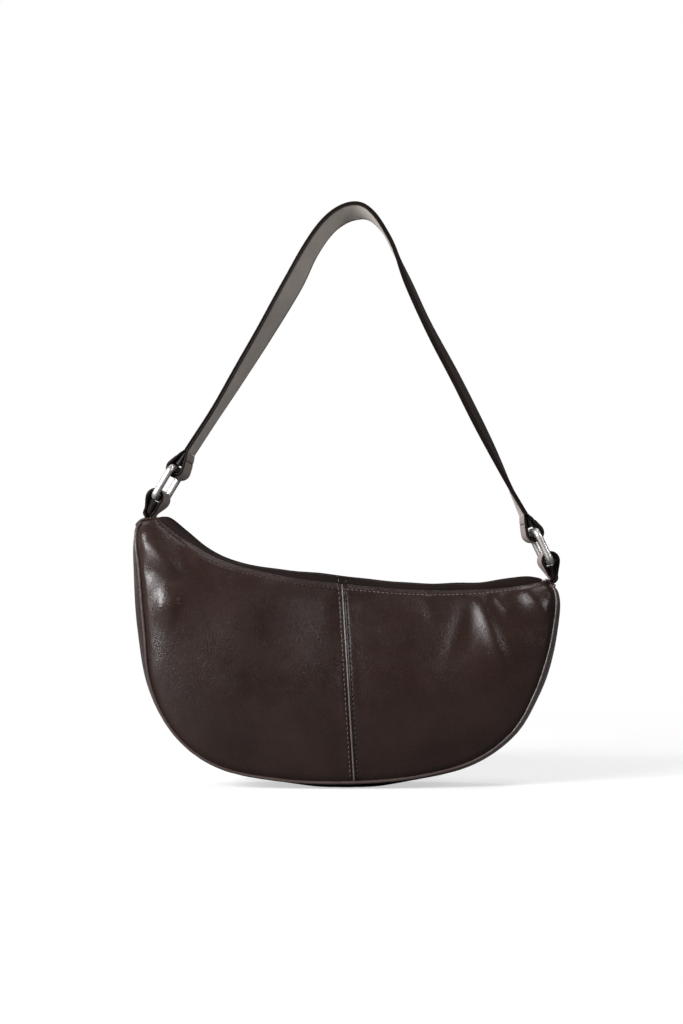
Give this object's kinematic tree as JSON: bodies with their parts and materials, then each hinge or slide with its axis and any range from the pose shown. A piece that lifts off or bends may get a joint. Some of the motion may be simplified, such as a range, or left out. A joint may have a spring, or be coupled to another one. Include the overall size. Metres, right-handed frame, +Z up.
{
  "type": "half moon bag",
  "caption": "Half moon shoulder bag in soft leather: crescent body on a curved gusset, zipped mouth, twisted arch strap on two loose metal rings.",
  "frame": {"origin": "middle of the bag's bounding box, on the surface that it stands on", "axes": "+X to the right along the bag seen from the front, -Y to the front, +Z up through the strap"},
  "size_m": [0.3003, 0.0724, 0.41],
  "materials": {
    "leather": "smooth dark brown leather, semi-gloss, fine grain",
    "piping_leather": "dark brown leather cord with a rubbed edge",
    "strap_lining": "grey-brown leather, satin",
    "lining_cloth": "plain cotton twill, matt",
    "zip_tape": "woven tape, matt",
    "zip_metal": "aged nickel, satin",
    "ring_metal": "aged nickel, softly brushed"
  },
  "bodies": {
    "bag": {"front_panel_left": "leather", "front_panel_right": "leather", "back_panel_left": "leather", "back_panel_right": "leather", "gusset": "leather", "front_piping": "piping_leather", "back_piping": "piping_leather", "zip_band_front": "leather", "zip_band_back": "leather", "zip_end_left": "leather", "zip_end_right": "leather", "zip_tape_front": "zip_tape", "zip_tape_back": "zip_tape", "zip_teeth_front": "zip_metal", "zip_teeth_back": "zip_metal", "zip_stops": "zip_metal", "lining_front": "lining_cloth", "lining_back": "lining_cloth", "lining_gusset": "lining_cloth", "slip_pocket": "lining_cloth", "tab_left": "leather", "tab_right": "leather"},
    "left_tab": {"tab_left_loop": "leather"},
    "right_tab": {"tab_right_loop": "leather"},
    "left_ring": {"ring_left": "ring_metal"},
    "right_ring": {"ring_right": "ring_metal"},
    "strap": {"strap_outer": "leather", "strap_inner": "strap_lining", "strap_end_left": "leather", "strap_end_right": "leather"},
    "slider": {"zip_slider": "zip_metal"},
    "puller": {"zip_puller": "zip_metal"}
  },
  "joints": [
    {"name": "strap_swing", "type": "hinge", "parent": "bag", "child": "left_tab", "pos_m": [-0.13826, 0, 0.19224], "axis": [0.9872, 0, -0.1592], "range_deg": [-45, 45]},
    {"name": "right_tab_swing", "type": "hinge", "parent": "bag", "child": "right_tab", "pos_m": [0.14503, 0, 0.14656], "axis": [0.9872, 0, -0.1592], "range_deg": [-45, 45]},
    {"name": "strap_shift", "type": "hinge", "parent": "left_tab", "child": "left_ring", "pos_m": [-0.13198, 0, 0.20167], "axis": [0, 1, 0], "range_deg": [-7, 7]},
    {"name": "right_ring_turn", "type": "hinge", "parent": "right_tab", "child": "right_ring", "pos_m": [0.14123, 0, 0.15695], "axis": [0, 1, 0], "range_deg": [-7.98, 7.98]},
    {"name": "strap_rock", "type": "hinge", "parent": "left_ring", "child": "strap", "pos_m": [-0.11982, 0, 0.22189], "axis": [0, 1, 0], "range_deg": [-7.67, 7.67]},
    {"name": "zip_slide", "type": "hinge", "parent": "bag", "child": "slider", "pos_m": [0.057, 0, 0.7356], "axis": [0, 1, 0], "range_deg": [0, 18.2], "deforming": ["zip_teeth_front", "zip_teeth_back"]},
    {"name": "puller_flip", "type": "hinge", "parent": "slider", "child": "puller", "pos_m": [0.10818, 0, 0.141], "axis": [0, -1, 0], "range_deg": [0, 140]}
  ],
  "couplings": [
    {"joint": "right_tab_swing", "follows": "strap_swing", "ratio": 1},
    {"joint": "right_ring_turn", "follows": "strap_shift", "ratio": 1.14},
    {"joint": "strap_rock", "follows": "strap_shift", "ratio": -1.095}
  ]
}
